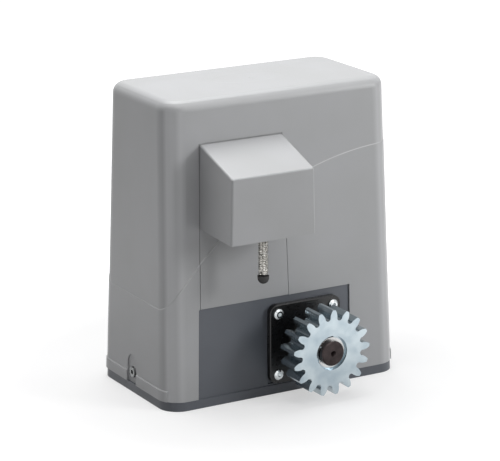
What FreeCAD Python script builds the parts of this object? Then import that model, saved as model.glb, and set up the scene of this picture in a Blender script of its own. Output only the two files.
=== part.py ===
import FreeCAD, Part
import math
import os

from FreeCAD import Rotation, Vector

# Sliding gate motor: a vertical worm gear motor under a lift-off moulded cover.
# Millimetres, +Z up, origin at the middle of the foot's underside, the pinion faces -Y.

# ---------------------------------------------------------------- overall form
base_width = 231.4
total_height = 267.0
corner_radius = 18.0
side_draft = 1.40              # degrees that the two ends lean in
face_draft = 2.06              # degrees that the front and back lean in
foot_height = 8.0              # strip of the base that shows under the cover
seat_gap = 0.2                 # between the cover's rim and the foot
motor_radius = 46.0
motor_surround = 19.0          # motor's shell to the foot's front and back edges
base_depth = 2 * (motor_radius + motor_surround)

# ---------------------------------------------------------------- cover
cover_wall = 3.0
top_fillet = 9.2
swoosh_x = 114.6               # centre and radius of the styling step's arc
swoosh_z = -65.8
swoosh_radius = 275.2
swoosh_step = 0.45             # the part below the arc stands this much proud
cutout_left = -84.6            # front cut-out round the casting's face
cutout_right = 65.6
cutout_lean = 2.0              # degrees that the left edge runs out downwards
back_cutout_half = 47.0        # back cut-out round the release panel
back_cutout_top = 78.0
shadow_gap = 0.5               # between the cover's edges and what fills its cut-outs
flare_top = 18.4               # band along the foot of each end wall, proud of it
flare_depth = 1.3
flare_half = 57.0              # half its length, round into the corners
inner_bevel = 4.5              # inside the cover's top edge

# ---------------------------------------------------------------- limit hood
hood_x = -39.6                 # middle of the panel and the hood
hood_foot_half = 43.3          # half width of the panel at its lower edge
hood_lean = 1.4                # degrees that the panel's edges lean in
hood_draft = 1.0               # degrees that the hood's sides close in towards its front
hood_reach = 46.0              # hood's front beyond the foot's front edge
hood_front_y = -base_depth / 2 - hood_reach
hood_top_back = 229.5          # height of the hood's roof at the panel
hood_top_front = 211.0
hood_mouth_back = 157.2        # height of the hood's open lower edge at the panel
hood_mouth_front = 154.2
hood_wall = 2.5
hood_edge = 1.8
hood_top_gap = 0.3             # between the hood's roof and the cover's slot

# ---------------------------------------------------------------- base casting
face_recess = 1.0              # casting's face behind the cover's outer face
face_wall = 5.0
slot_x = 78.0                  # anchor slots
slot_y = 43.0
slot_length = 24.0
slot_width = 11.0
leveller_x = 100.0
leveller_y = 49.0
leveller_diameter = 10.0
leveller_length = 20.0
leveller_boss_height = 19.0
cable_x = -82.0                # cable entry in the floor
cable_length = 46.0            # along Y
cable_width = 26.0
cover_screw_y = 3.0
cover_screw_z = 18.0
cover_screw_diameter = 5.0
head_well_radius = 5.0         # round well in the cover for the screw's head
head_well_depth = 4.4
screw_boss_radius = 8.0
arch_half = 8.5                # shallow arch pressed in round each cover screw
arch_top = 34.0
arch_depth = 0.8
fork_thickness = 4.0           # upright of the base that the screw's shank drops into
hood_foot_depth = 6.2          # ledge of the hood's panel on the gear case's roof

# ---------------------------------------------------------------- gear train
axis_x = 17.9                  # output axis
axis_z = 45.4
pinion_module = 4.0
pinion_teeth = 17
pinion_width = 22.4
pinion_phase = 3.4             # degrees that one tooth stands clockwise of the top
pressure_angle = 20.0
shaft_diameter = 22.0
shaft_nose = 2.5               # shaft's end beyond the pinion's face
pinion_hub = 8.0               # hub behind the teeth
circlip_thickness = 1.2
circlip_radial = 3.3
circlip_groove = 0.9           # depth of its groove in the shaft
circlip_opening = 32.0         # degrees from nine o'clock to each of its ends
circlip_recess = 3.2           # depth of the pinion's counterbore
circlip_recess_radius = 15.2
key_width = 6.0
key_height = 6.0
worm_module = 2.0
wheel_teeth = 33
worm_pitch_radius = 10.0
wheel_y = -5.0                 # middle of the worm wheel and the motor's axis
wheel_width = 16.0
wheel_seat = 26.0
tooth_clearance = 0.12
worm_length = 28.0
worm_centre_distance = worm_pitch_radius + worm_module * wheel_teeth / 2
# a tooth of the wheel points at the worm when its space would: half a pitch off nine o'clock
wheel_phase = -90.0 + 180.0 / wheel_teeth

# ---------------------------------------------------------------- flange and bearings
flange_side = 71.0
flange_thickness = 5.4
flange_corner = 8.0
flange_bevel = 0.7
flange_set_in = 3.0            # flange's seat behind the foot's front edge
pinion_reach = 43.3            # pinion's face in front of the flange
flange_seat_y = -base_depth / 2 + flange_set_in
flange_front_y = flange_seat_y - flange_thickness
pinion_face_y = flange_front_y - pinion_reach
shaft_end_y = pinion_face_y - shaft_nose
flange_screw_pitch = 55.0
flange_screw_diameter = 5.0
bearing_front = (25.0, 47.0, 12.0)     # bore, outside, width
bearing_rear = (20.0, 42.0, 12.0)
bearing_motor = (15.0, 35.0, 11.0)
bearing_foot = (8.0, 22.0, 7.0)
bearing_upper = (12.0, 28.0, 8.0)
running_gap = 0.05
seal_outside = 35.0
seal_width = 7.0

# ---------------------------------------------------------------- gear case
case_left = -46.0
case_right = 62.0
case_back = 26.0
case_wall = 5.0
wheel_room = 1.6               # between the wheel's teeth and the case's ceiling
case_roof = axis_z + worm_module * (wheel_teeth / 2 + 1) + wheel_room + case_wall
cutout_top = case_roof         # the cover's front cut-out ends level with the case
rear_plate = 8.0

# ---------------------------------------------------------------- motor
motor_shell = 2.0
motor_foot = 12.0              # height of the lower end shield
motor_body = 60.0
motor_cap = 12.0
core_height = 46.0
core_bore = 50.0
air_gap = 0.5
winding_height = 6.5

# ---------------------------------------------------------------- electrical parts
beside_motor = 5.1             # from the motor's shell to the board and the capacitor
capacitor_diameter = 36.0
capacitor_height = 70.0
capacitor_y = -28.0
board_z1 = 100.0
board_z2 = 215.0
board_y = 20.0
board_thickness = 1.6
board_side_room = 9.4          # board's edge to the cover's inside
relay_size = (16.0, 15.0, 20.0)
terminal_pitch = 5.0

# ---------------------------------------------------------------- limit switch
lever_x = -42.0
lever_set_back = 13.5          # middle of the spring behind the hood's front
lever_y = hood_front_y + lever_set_back
lever_z = 200.0                # pivot
pivot_diameter = 8.0
holder_diameter = 13.0
holder_foot = 176.0
spring_outside = 8.6
spring_wire = 1.9
spring_foot = 120.5
tip_radius = 4.9
cam_radius = 10.0
cam_nose = 3.0
cam_swing = 30.0               # degrees either way
button_travel = 0.8
contact_gap = 0.4
switch_size = (16.0, 10.0, 28.0)
post_radius = 3.0
post_spread = 36.5             # posts of the switch plate, from the panel's middle
post_low = -22.0
post_high = 11.0

# ---------------------------------------------------------------- manual release, on the back
rod_diameter = 10.0
rod_travel = 4.0
rod_overlap = 12.0             # length of the rod inside the shaft's bore
knob_radius = 23.0
knob_flange_radius = 27.0
knob_set_in = 14.0             # knob's inner face behind the foot's back edge
knob_flange_y = base_depth / 2 - knob_set_in
grip_width = 9.0
grip_length = 38.0
lock_radius = 6.0


def half_width(z, extra=0.0):
    return base_width / 2 - z * math.tan(math.radians(side_draft)) + extra


def half_depth(z, extra=0.0):
    return base_depth / 2 - z * math.tan(math.radians(face_draft)) + extra


def rounded_rectangle(half_x, half_y, radius, z):
    """Closed wire, round the Z axis, with the same eight edges at every size."""
    k = radius * (1 - math.sqrt(0.5))
    edges = []
    for sx, sy in ((1, 1), (-1, 1), (-1, -1), (1, -1)):
        along_x = Vector(sx * (half_x - radius), sy * half_y, z)
        along_y = Vector(sx * half_x, sy * (half_y - radius), z)
        middle = Vector(sx * (half_x - k), sy * (half_y - k), z)
        ends = (along_y, along_x) if sx * sy > 0 else (along_x, along_y)
        if edges:
            edges.append(Part.LineSegment(edges[-1].Vertexes[-1].Point, ends[0]).toShape())
        edges.append(Part.Arc(ends[0], middle, ends[1]).toShape())
    edges.append(Part.LineSegment(edges[-1].Vertexes[-1].Point, edges[0].Vertexes[0].Point).toShape())
    return Part.Wire(edges)


def frustum(near, far):
    """Solid with flat sides between two outlines of four points each."""
    sides = [[near[k - 1], near[k], far[k], far[k - 1]] for k in range(4)]
    faces = [Part.Face(Part.makePolygon(points + points[:1])) for points in [near[::-1], far] + sides]
    solid = Part.Solid(Part.Shell(faces))
    return solid if solid.Volume > 0 else solid.reversed()


def drafted_body(z1, z2, extra=0.0):
    """The housing's outer form between two heights, grown or shrunk all round by extra."""
    low, high = [[Vector(sx * half_width(z, extra), sy * half_depth(z, extra), z)
                  for sx, sy in ((1, 1), (-1, 1), (-1, -1), (1, -1))] for z in (z1, z2)]
    block = frustum(low, high)
    uprights = [edge for edge in block.Edges if edge.BoundBox.ZLength > 0.9 * (z2 - z1)]
    return block.makeFillet(corner_radius + extra, uprights)


def box(x1, x2, y1, y2, z1, z2):
    return Part.makeBox(x2 - x1, y2 - y1, z2 - z1, Vector(x1, y1, z1))


def cylinder_y(radius, y1, y2, x, z):
    return Part.makeCylinder(radius, y2 - y1, Vector(x, y1, z), Vector(0, 1, 0))


def cylinder_z(radius, z1, z2, x, y):
    return Part.makeCylinder(radius, z2 - z1, Vector(x, y, z1), Vector(0, 0, 1))


def cylinder_x(radius, x1, x2, y, z):
    return Part.makeCylinder(radius, x2 - x1, Vector(x1, y, z), Vector(1, 0, 0))


def prism_y(points, y1, y2):
    """Solid whose outline of (x, z) points runs from y1 to y2."""
    wire = Part.makePolygon([Vector(x, y1, z) for x, z in points + points[:1]])
    return Part.Face(wire).extrude(Vector(0, y2 - y1, 0))


def square_plate(side, radius, y1, y2, x, z):
    """Square with round corners standing in an X-Z plane."""
    wire = rounded_rectangle(side / 2, side / 2, radius, 0)
    solid = Part.Face(wire).extrude(Vector(0, 0, y2 - y1))
    solid.rotate(Vector(0, 0, 0), Vector(1, 0, 0), -90)
    solid.translate(Vector(x, y1, z))
    return solid


def fuse(first, *others):
    joined = first.fuse(list(others)) if others else first
    return joined.removeSplitter()


def swoosh_zone(extra=0.0):
    return cylinder_y(swoosh_radius + extra, -base_depth, base_depth, swoosh_x, swoosh_z)


def skin(z1, z2, extra):
    """Outer form of the mouldings: plain above the arc and proud by the step below it."""
    plain = drafted_body(z1, z2, extra)
    proud = drafted_body(z1, z2, extra + swoosh_step).common(swoosh_zone())
    return fuse(plain, proud)


def panel_half(z):
    return hood_foot_half - (z - cutout_top) * math.tan(math.radians(hood_lean))


def panel_outline(gap, z1, z2):
    """Outline of the panel, grown sideways by gap."""
    low, high = panel_half(z1) + gap, panel_half(z2) + gap
    return [(hood_x - low, z1), (hood_x + low, z1), (hood_x + high, z2), (hood_x - high, z2)]


def hexagon(radius, z, height):
    corners = [Vector(radius * math.cos(math.radians(60 * k)), radius * math.sin(math.radians(60 * k)), z)
               for k in range(7)]
    return Part.Face(Part.makePolygon(corners)).extrude(Vector(0, 0, height))


def shank(diameter, length):
    return Part.makeCylinder(diameter / 2, length, Vector(0, 0, -length))


def hex_bolt(diameter, length):
    """Hexagon head along +Z with its seat at z = 0 and its shank below."""
    return fuse(hexagon(diameter, 0, 0.7 * diameter), shank(diameter, length))


def socket_screw(diameter, length):
    """Cylinder head with a hexagon socket."""
    head = Part.makeCylinder(0.85 * diameter, diameter)
    socket = hexagon(0.46 * diameter, 0.45 * diameter, diameter)
    return fuse(head, shank(diameter, length)).cut(socket)


def button_screw(diameter, length):
    """Low domed head with a hexagon socket."""
    height = 0.55 * diameter
    head = Part.makeCylinder(0.92 * diameter, height)
    crown = [e for e in head.Edges if e.BoundBox.ZMin > height - 0.01]
    head = head.makeChamfer(0.3 * diameter, crown)
    socket = hexagon(0.38 * diameter, 0.1 * diameter, diameter)
    return fuse(head, shank(diameter, length)).cut(socket)


def placed(shape, position, direction):
    """Copy of a shape made along +Z, turned to a direction and moved."""
    copy = shape.copy()
    turn = Rotation(Vector(0, 0, 1), Vector(*direction))
    copy.Placement = FreeCAD.Placement(Vector(*position), turn)
    return copy


def ring(bore, outside, width):
    return Part.makeCylinder(outside / 2, width).cut(Part.makeCylinder(bore / 2, width))


# ================================================================ cover
def top_cover():
    rim = foot_height + seat_gap
    outside = drafted_body(rim, total_height)
    top_edges = [e for e in outside.Edges if e.BoundBox.ZMin > total_height - 0.01]
    outside = outside.makeFillet(top_fillet, top_edges)
    proud = drafted_body(rim, total_height, swoosh_step).common(swoosh_zone())
    inside = drafted_body(foot_height - 1, total_height - cover_wall, -cover_wall)
    top_edges = [e for e in inside.Edges if e.BoundBox.ZMin > total_height - cover_wall - 0.01]
    inside = inside.makeChamfer(inner_bevel, top_edges)
    shell = fuse(outside, proud, foot_flare()).cut(inside)
    run_out = (cutout_top - foot_height) * math.tan(math.radians(cutout_lean))
    front_hole = prism_y([(cutout_left - run_out, foot_height - 1), (cutout_right, foot_height - 1),
                          (cutout_right, cutout_top), (cutout_left, cutout_top)], -base_depth, 0)
    slot = prism_y(panel_outline(shadow_gap, cutout_top - 1, hood_top_back + hood_top_gap), -base_depth, 0)
    back_hole = box(axis_x - back_cutout_half, axis_x + back_cutout_half, 0, base_depth,
                    foot_height - 1, back_cutout_top)
    shell = shell.cut([front_hole, slot, back_hole])
    bosses = [mirrored(screw_boss(), side) for side in (-1, 1)]
    cuts = [mirrored(tool, side) for side in (-1, 1) for tool in screw_wells()]
    return fuse(shell, *bosses).cut(cuts)


def foot_flare():
    """Band that stands proud along the foot of the two end walls, with a sloped upper edge."""
    rim = foot_height + seat_gap
    band = drafted_body(rim, flare_top, flare_depth)
    upper_edges = [e for e in band.Edges if e.BoundBox.ZMin > flare_top - 0.01]
    band = band.makeChamfer(flare_depth, upper_edges)
    return band.common(box(-base_width, base_width, -flare_half, flare_half, rim, flare_top))


def mirrored(shape, side):
    """The shape as made on the +X side, or its mirror image on the -X side."""
    return shape if side > 0 else shape.mirror(Vector(0, 0, 0), Vector(1, 0, 0))


def screw_boss():
    """Thick round spot inside the cover's end wall, behind the screw's head."""
    wall = half_width(cover_screw_z) - cover_wall
    return cylinder_x(screw_boss_radius, screw_boss_face(), wall + 0.5, cover_screw_y, cover_screw_z)


def screw_boss_face():
    return half_width(cover_screw_z) - head_well_depth - cover_wall


def screw_wells():
    """Cutters for one cover screw: shallow arch, well for the head and hole for the shank."""
    outer = half_width(cover_screw_z)
    arch_radius_z = arch_top - arch_half
    slab = box(outer - arch_depth, base_width, cover_screw_y - arch_half, cover_screw_y + arch_half,
               0, arch_radius_z)
    crown = cylinder_x(arch_half, outer - arch_depth, base_width, cover_screw_y, arch_radius_z)
    well = cylinder_x(head_well_radius, outer - head_well_depth, base_width, cover_screw_y, cover_screw_z)
    hole = cylinder_x(cover_screw_diameter / 2 + 0.3, base_width / 3, base_width, cover_screw_y, cover_screw_z)
    return [slab.fuse(crown), well, hole]


def cover_screws():
    length = head_well_depth + fork_thickness + 6
    screw = socket_screw(cover_screw_diameter, length)
    seat = half_width(cover_screw_z) - head_well_depth
    single = placed(screw, (seat, cover_screw_y, cover_screw_z), (1, 0, 0))
    return Part.makeCompound([mirrored(single, side) for side in (-1, 1)])


def cover_screw_nuts():
    """Square nuts that stay on the screws and pull against the base's forks."""
    far = screw_boss_face() - 0.3 - fork_thickness - 0.3
    nut = box(far - 4, far, cover_screw_y - 4.5, cover_screw_y + 4.5, cover_screw_z - 4.5, cover_screw_z + 4.5)
    nut = nut.cut(cylinder_x(cover_screw_diameter / 2, 0, base_width, cover_screw_y, cover_screw_z))
    return Part.makeCompound([mirrored(nut, side) for side in (-1, 1)])


def screw_fork():
    """Upright of the base with a slot open at the top for the cover screw's shank."""
    far = screw_boss_face() - 0.3
    gap = cover_screw_diameter / 2 + 0.4
    upright = box(far - fork_thickness, far, cover_screw_y - 8, cover_screw_y + 8, foot_height - 1,
                  cover_screw_z + 7)
    slot = box(far - fork_thickness - 1, far + 1, cover_screw_y - gap, cover_screw_y + gap,
               cover_screw_z, cover_screw_z + 8)
    bottom = cylinder_x(gap, far - fork_thickness - 1, far + 1, cover_screw_y, cover_screw_z)
    return upright.cut([slot, bottom])


def hood_section(y, inset, lower=0.0):
    """Corners of the hood's section in an X-Z plane, pulled in by inset on its sides and roof."""
    travel = -half_depth(hood_top_back) - y
    full = -half_depth(hood_top_back) - hood_front_y
    top = hood_top_back + (hood_top_front - hood_top_back) * travel / full - inset
    mouth = hood_mouth_back + (hood_mouth_front - hood_mouth_back) * travel / full - lower
    close_in = travel * math.tan(math.radians(hood_draft)) + inset
    low, high = panel_half(mouth) - close_in, panel_half(top) - close_in
    points = [(hood_x - low, mouth), (hood_x + low, mouth), (hood_x + high, top), (hood_x - high, top)]
    return [Vector(x, y, z) for x, z in points]


def limit_hood():
    """Panel flush with the cover's face, with the open-bottomed hood standing on it."""
    back_y = -half_depth(hood_mouth_back) + cover_wall / 2
    block = frustum(hood_section(back_y, 0), hood_section(hood_front_y, 0))
    outer_edges = [e for e in block.Edges if e.BoundBox.YMin < hood_front_y + 1 and
                   e.BoundBox.ZMax > hood_top_front - hood_wall]
    block = block.makeFillet(hood_edge, outer_edges)
    panel_body = skin(cutout_top, hood_top_back + 1, 0).cut(
        drafted_body(cutout_top - 1, hood_top_back + 2, -cover_wall))
    panel = panel_body.common(prism_y(panel_outline(0, cutout_top + 0.3, hood_top_back), -base_depth, 0))
    inner_back = -half_depth(hood_top_back) - swoosh_step
    hollow = frustum(hood_section(inner_back + 6, hood_wall, 20),
                     hood_section(hood_front_y + hood_wall, hood_wall, 20))
    behind = drafted_body(cutout_top - 1, total_height, 0)
    hollow = hollow.cut(behind)
    shape = fuse(panel, block.cut(hollow), *hood_feet())
    for dx in (-post_spread, post_spread):
        for dz in (post_low, post_high):
            post = cylinder_y(post_radius, -half_depth(lever_z) + cover_wall / 2, switch_back_y(),
                              hood_x + dx, lever_z + dz)
            shape = shape.fuse(post)
    bush_hole = cylinder_y(pivot_diameter / 2 + 3, -base_depth, 0, lever_x, lever_z)
    keep_front = box(hood_x - 60, hood_x + 60, hood_front_y - 1, -half_depth(lever_z) - 4, 0, total_height)
    return shape.cut(bush_hole.cut(keep_front)).removeSplitter()


def hood_feet():
    """Ledge that stands on the gear case's roof, and a tab behind the casting's face beside it."""
    inner_face = -half_depth(cutout_top) + face_recess + face_wall
    panel_y = -half_depth(cutout_top) + cover_wall / 2
    ledge_y = wheel_y - motor_radius - 0.5
    ledge = box(case_left + 2, motor_x() + 19, ledge_y - hood_foot_depth, ledge_y, case_roof, case_roof + 3)
    web = box(case_left + 2, motor_x() + 19, panel_y, ledge_y - hood_foot_depth + 1, case_roof, case_roof + 8)
    tab = box(hood_tab_x() - 11, hood_tab_x() + 11, inner_face + 0.1, inner_face + 3.1,
              case_roof - 16, case_roof + 8)
    bridge = box(hood_tab_x() - 11, hood_tab_x() + 11, panel_y, inner_face + 3.1, case_roof + 3, case_roof + 8)
    holes = [cylinder_z(1.6, case_roof - 1, case_roof + 9, x, y) for x, y in ledge_screw_places()]
    holes += [cylinder_y(1.6, inner_face, inner_face + 4, x, z) for x, z in tab_screw_places()]
    return [fuse(ledge, web).cut(holes), fuse(tab, bridge).cut(holes)]


def hood_tab_x():
    return (cutout_left + case_left) / 2


def ledge_screw_places():
    y = wheel_y - motor_radius - 0.5 - hood_foot_depth / 2 + 0.6
    return [(case_left + 7, y), (motor_x() + 14, y)]


def tab_screw_places():
    return [(hood_tab_x() + dx, case_roof - 9) for dx in (-6, 6)]


def hood_screws():
    """Four small screws: two down into the gear case's roof, two forward into the casting's face."""
    screw = hex_bolt(3.0, 6.0)
    back = -half_depth(cutout_top) + face_recess + face_wall + 3.1
    down = [placed(screw, (x, y, case_roof + 3), (0, 0, 1)) for x, y in ledge_screw_places()]
    forward = [placed(screw, (x, back, z), (0, 1, 0)) for x, z in tab_screw_places()]
    return Part.makeCompound(down + forward)


def switch_back_y():
    """Plane of the switch plate's front face."""
    return -half_depth(lever_z) + cover_wall + 4 + switch_size[1] + 2


# ================================================================ base casting and gear case
def base_casting():
    plate = drafted_body(0, foot_height)
    # raised front and back faces that fill the cover's cut-outs
    wall_body = drafted_body(foot_height - 1, cutout_top, -face_recess).cut(
        drafted_body(foot_height - 2, cutout_top + 1, -face_recess - face_wall))
    run_out = (cutout_top - foot_height) * math.tan(math.radians(cutout_lean))
    gap = shadow_gap
    front = wall_body.common(prism_y([(cutout_left - run_out + gap, foot_height - 1),
                                      (cutout_right - gap, foot_height - 1),
                                      (cutout_right - gap, cutout_top - gap / 2),
                                      (cutout_left + gap, cutout_top - gap / 2)], -base_depth, 0))
    back = wall_body.common(box(axis_x - back_cutout_half + gap, axis_x + back_cutout_half - gap, 0, base_depth,
                                foot_height - 1, back_cutout_top - gap))
    # gear case, open at the back
    front_wall_y = -half_depth(cutout_top) + face_recess + 1
    case = box(case_left, case_right, front_wall_y, case_back, foot_height - 1, case_roof)
    chamber = box(case_left + case_wall, case_right - case_wall, front_wall_y + face_wall - 1, case_back + 1,
                  foot_height, case_roof - case_wall)
    case = case.cut(chamber)
    foot_boss = cylinder_z(bearing_foot[1] / 2 + 4, foot_height - 1, foot_height + bearing_foot[2] + 3,
                           motor_x(), wheel_y)
    flange_boss = square_plate(flange_side, flange_corner, flange_seat_y, flange_seat_y + 8, axis_x, axis_z)
    motor_pad = cylinder_z(motor_radius + 1, case_roof - case_wall, case_roof, motor_x(), wheel_y)
    gussets = [motor_gusset(y) for y in (wheel_y - 20, wheel_y + 20)]
    shape = fuse(plate, front, back, case, foot_boss, flange_boss, motor_pad, *gussets)
    for sx in (-1, 1):
        for sy in (-1, 1):
            boss = cylinder_z(leveller_diameter / 2 + 2.5, foot_height - 1, leveller_boss_height,
                              sx * leveller_x, sy * leveller_y)
            shape = shape.fuse(boss)
        shape = shape.fuse(mirrored(screw_fork(), sx))
    cuts = []
    # flat square seat for the flange, and its bore
    cuts.append(box(axis_x - flange_side / 2 - 0.4, axis_x + flange_side / 2 + 0.4, -base_depth, flange_seat_y,
                    axis_z - flange_side / 2 - 0.4, axis_z + flange_side / 2 + 0.4))
    cuts.append(cylinder_y(bearing_front[1] / 2 + 4, -base_depth, flange_seat_y + 14, axis_x, axis_z))
    for px, pz in flange_screw_places():
        cuts.append(cylinder_y(flange_screw_diameter / 2, -base_depth, flange_seat_y + 12, px, pz))
    # motor bearing in the roof, foot bearing pocket
    cuts.append(cylinder_z(bearing_motor[1] / 2, case_roof - case_wall - 1, case_roof + 1, motor_x(), wheel_y))
    cuts.append(cylinder_z(bearing_foot[1] / 2, foot_height + 2, foot_height + 20, motor_x(), wheel_y))
    cuts += bolt_holes(2.0, case_roof - case_wall - 1, case_roof + 1)
    # anchor slots, cable entry, levelling and cover screws
    for sx in (-1, 1):
        for sy in (-1, 1):
            cuts.append(anchor_slot(sx * slot_x, sy * slot_y))
            cuts.append(cylinder_z(leveller_diameter / 2, -1, leveller_boss_height + 1,
                                   sx * leveller_x, sy * leveller_y))
    cuts.append(cable_hole(0))
    # threaded holes for the hood's small screws, and the release knob's round window
    inner_face = -half_depth(cutout_top) + face_recess + face_wall
    cuts += [cylinder_z(1.5, case_roof - 4, case_roof + 1, x, y) for x, y in ledge_screw_places()]
    cuts += [cylinder_y(1.5, inner_face - 4, inner_face + 1, x, z) for x, z in tab_screw_places()]
    cuts.append(cylinder_y(knob_radius + 0.1, knob_flange_y, base_depth, axis_x, axis_z))
    return shape.cut(cuts).removeSplitter()


def motor_gusset(y):
    """Rib that runs from the gear case's side out under the motor's pad."""
    reach = math.sqrt((motor_radius - 2) ** 2 - (y - wheel_y) ** 2)
    outer = motor_x() - reach
    return prism_y([(case_left + 1, case_roof - 45), (case_left + 1, case_roof - 1),
                    (outer, case_roof - 1), (outer, case_roof - case_wall - 3)], y - 2, y + 2)


def anchor_slot(x, y):
    straight = (slot_length - slot_width) / 2
    r = slot_width / 2
    middle = box(x - straight, x + straight, y - r, y + r, -1, foot_height + 1)
    ends = [cylinder_z(r, -1, foot_height + 1, x + s * straight, y) for s in (-1, 1)]
    return middle.fuse(ends).removeSplitter()


def cable_hole(shrink, z1=-1.0, z2=foot_height + 1.0):
    r = cable_width / 2 - shrink
    straight = cable_length / 2 - cable_width / 2
    middle = box(cable_x - r, cable_x + r, -straight, straight, z1, z2)
    ends = [cylinder_z(r, z1, z2, cable_x, s * straight) for s in (-1, 1)]
    return middle.fuse(ends).removeSplitter()


def cable_grommet():
    """Rubber lining of the cable entry, with a lip above and below the plate's edge."""
    lip = cable_hole(-3.5, foot_height, foot_height + 2.5)
    sleeve = cable_hole(0.1, foot_height - 6, foot_height + 2.5)
    return fuse(lip, sleeve).cut(cable_hole(2.5, -1, foot_height + 4))


def flange_screw_places():
    half = flange_screw_pitch / 2
    return [(axis_x + sx * half, axis_z + sz * half) for sx in (-1, 1) for sz in (-1, 1)]


def bearing_flange():
    plate = square_plate(flange_side, flange_corner, flange_front_y, flange_seat_y, axis_x, axis_z)
    rim = [e for e in plate.Edges if e.BoundBox.YMax < flange_front_y + 0.01]
    plate = plate.makeChamfer(flange_bevel, rim)
    hub_end = flange_seat_y + 2 + bearing_front[2] + 4
    hub = cylinder_y(bearing_front[1] / 2 + 4, flange_seat_y - 1, hub_end, axis_x, axis_z)
    shape = fuse(plate, hub)
    cuts = [cylinder_y(shaft_diameter / 2 + 1.5, -base_depth, 0, axis_x, axis_z),
            cylinder_y(seal_outside / 2, flange_front_y - 1, flange_front_y + seal_width, axis_x, axis_z),
            cylinder_y(bearing_front[1] / 2, bearing_front_y(), 0, axis_x, axis_z)]
    for px, pz in flange_screw_places():
        cuts.append(cylinder_y(flange_screw_diameter / 2 + 0.3, -base_depth, 0, px, pz))
    return shape.cut(cuts).removeSplitter()


def bearing_front_y():
    return flange_front_y + seal_width + 3


def flange_screws():
    screw = button_screw(flange_screw_diameter, flange_thickness + 9)
    return Part.makeCompound([placed(screw, (px, flange_front_y, pz), (0, -1, 0))
                              for px, pz in flange_screw_places()])


def shaft_seal():
    outer = placed(ring(shaft_diameter + 2 * running_gap, seal_outside, seal_width - 0.5),
                   (axis_x, flange_front_y + seal_width, axis_z), (0, -1, 0))
    return outer


def bearing(size, position, direction):
    bore, outside, width = size
    return placed(ring(bore + 2 * running_gap, outside, width), position, direction)


def gearbox_rear_cover():
    plate = box(case_left, case_right, case_back, case_back + rear_plate, foot_height,
                case_roof - case_wall - 0.2)
    hub = cylinder_y(bearing_rear[1] / 2 + 4, case_back, case_back + bearing_rear[2] + 3, axis_x, axis_z)
    shape = fuse(plate, hub)
    cuts = [cylinder_y(bearing_rear[1] / 2, case_back - 1, case_back + bearing_rear[2], axis_x, axis_z),
            cylinder_y(rod_diameter / 2 + running_gap, case_back, base_depth, axis_x, axis_z)]
    for px, pz in rear_screw_places():
        cuts.append(cylinder_y(2.7, case_back - 1, case_back + rear_plate + 1, px, pz))
    return shape.cut(cuts).removeSplitter()


def rear_screw_places():
    left, right = case_left + case_wall / 2, case_right - case_wall / 2
    return [(x, z) for x in (left, right) for z in (20.0, 76.0)]


def rear_cover_screws():
    screw = hex_bolt(4.0, rear_plate)
    return Part.makeCompound([placed(screw, (px, case_back + rear_plate, pz), (0, 1, 0))
                              for px, pz in rear_screw_places()])


# ================================================================ output shaft group
def involute_gear(module, teeth, width, backlash, phase=0.0, twist=0.0, root_clearance=0.25):
    """Spur gear round Z from z = 0, with tooth 1 on +Y turned clockwise by phase degrees."""
    pitch = module * teeth / 2
    base = pitch * math.cos(math.radians(pressure_angle))
    tip = pitch + module
    root = pitch - module * (1 + root_clearance)

    def roll(radius):
        if radius <= base:
            return 0.0
        t = math.sqrt((radius / base) ** 2 - 1)
        return t - math.atan(t)

    half_tooth = (math.pi / 2 - backlash / module) / teeth + roll(pitch)

    def point(radius, side, centre):
        angle = centre + side * (half_tooth - roll(radius))
        return Vector(radius * math.sin(angle), radius * math.cos(angle), 0)

    def arc(a, b, c):
        if twist:
            return [Part.LineSegment(a, b).toShape(), Part.LineSegment(b, c).toShape()]
        return [Part.Arc(a, b, c).toShape()]

    def profile(z, turn):
        edges = []
        start = max(base, root + 0.05 * module)
        corners = []
        for k in range(teeth):
            centre = 2 * math.pi * k / teeth + math.radians(phase + turn)
            rise = [start, start + (tip - start) * 0.45, tip]
            corners.append((centre, [point(r, -1, centre) for r in rise],
                            [point(r, 1, centre) for r in reversed(rise)]))
        for k, (centre, left, right) in enumerate(corners):
            middle = centre - math.pi / teeth
            foot = Vector(root * math.sin(middle), root * math.cos(middle), 0)
            edges += arc(corners[k - 1][2][-1], foot, left[0])
            edges += arc(*left)
            edges.append(Part.LineSegment(left[-1], right[0]).toShape())
            edges += arc(*right)
        wire = Part.Wire(edges)
        wire.translate(Vector(0, 0, z))
        return wire

    if not twist:
        return Part.Face(profile(0, 0)).extrude(Vector(0, 0, width))
    return Part.makeLoft([profile(0, -twist / 2), profile(width, twist / 2)], True, True)


def keyway(radius, y1, y2, clearance=0.0):
    """Key on top of a shaft of the given radius, along the output axis."""
    half = key_width / 2 + clearance
    return box(axis_x - half, axis_x + half, y1, y2, axis_z + radius - key_height / 2,
               axis_z + radius + key_height / 2 + clearance)


def drive_pinion():
    back = pinion_face_y + pinion_width
    blank = involute_gear(pinion_module, pinion_teeth, pinion_width, 0.0, pinion_phase)
    blank.rotate(Vector(0, 0, 0), Vector(1, 0, 0), 90)
    blank.translate(Vector(axis_x, back, axis_z))
    hub = cylinder_y(shaft_diameter / 2 + 6, back - 1, back + pinion_hub, axis_x, axis_z)
    bore = cylinder_y(shaft_diameter / 2 + running_gap / 2, -base_depth, 0, axis_x, axis_z)
    recess = cylinder_y(circlip_recess_radius, -base_depth, circlip_back_y(), axis_x, axis_z)
    return fuse(blank, hub).cut([bore, recess, keyway(shaft_diameter / 2, -base_depth, 0, 0.05)])


def circlip_back_y():
    """Floor of the pinion's counterbore, which the circlip holds."""
    return pinion_face_y + circlip_recess


def pinion_key_ends():
    return circlip_back_y() + 2, pinion_face_y + pinion_width + pinion_hub - 2


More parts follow.
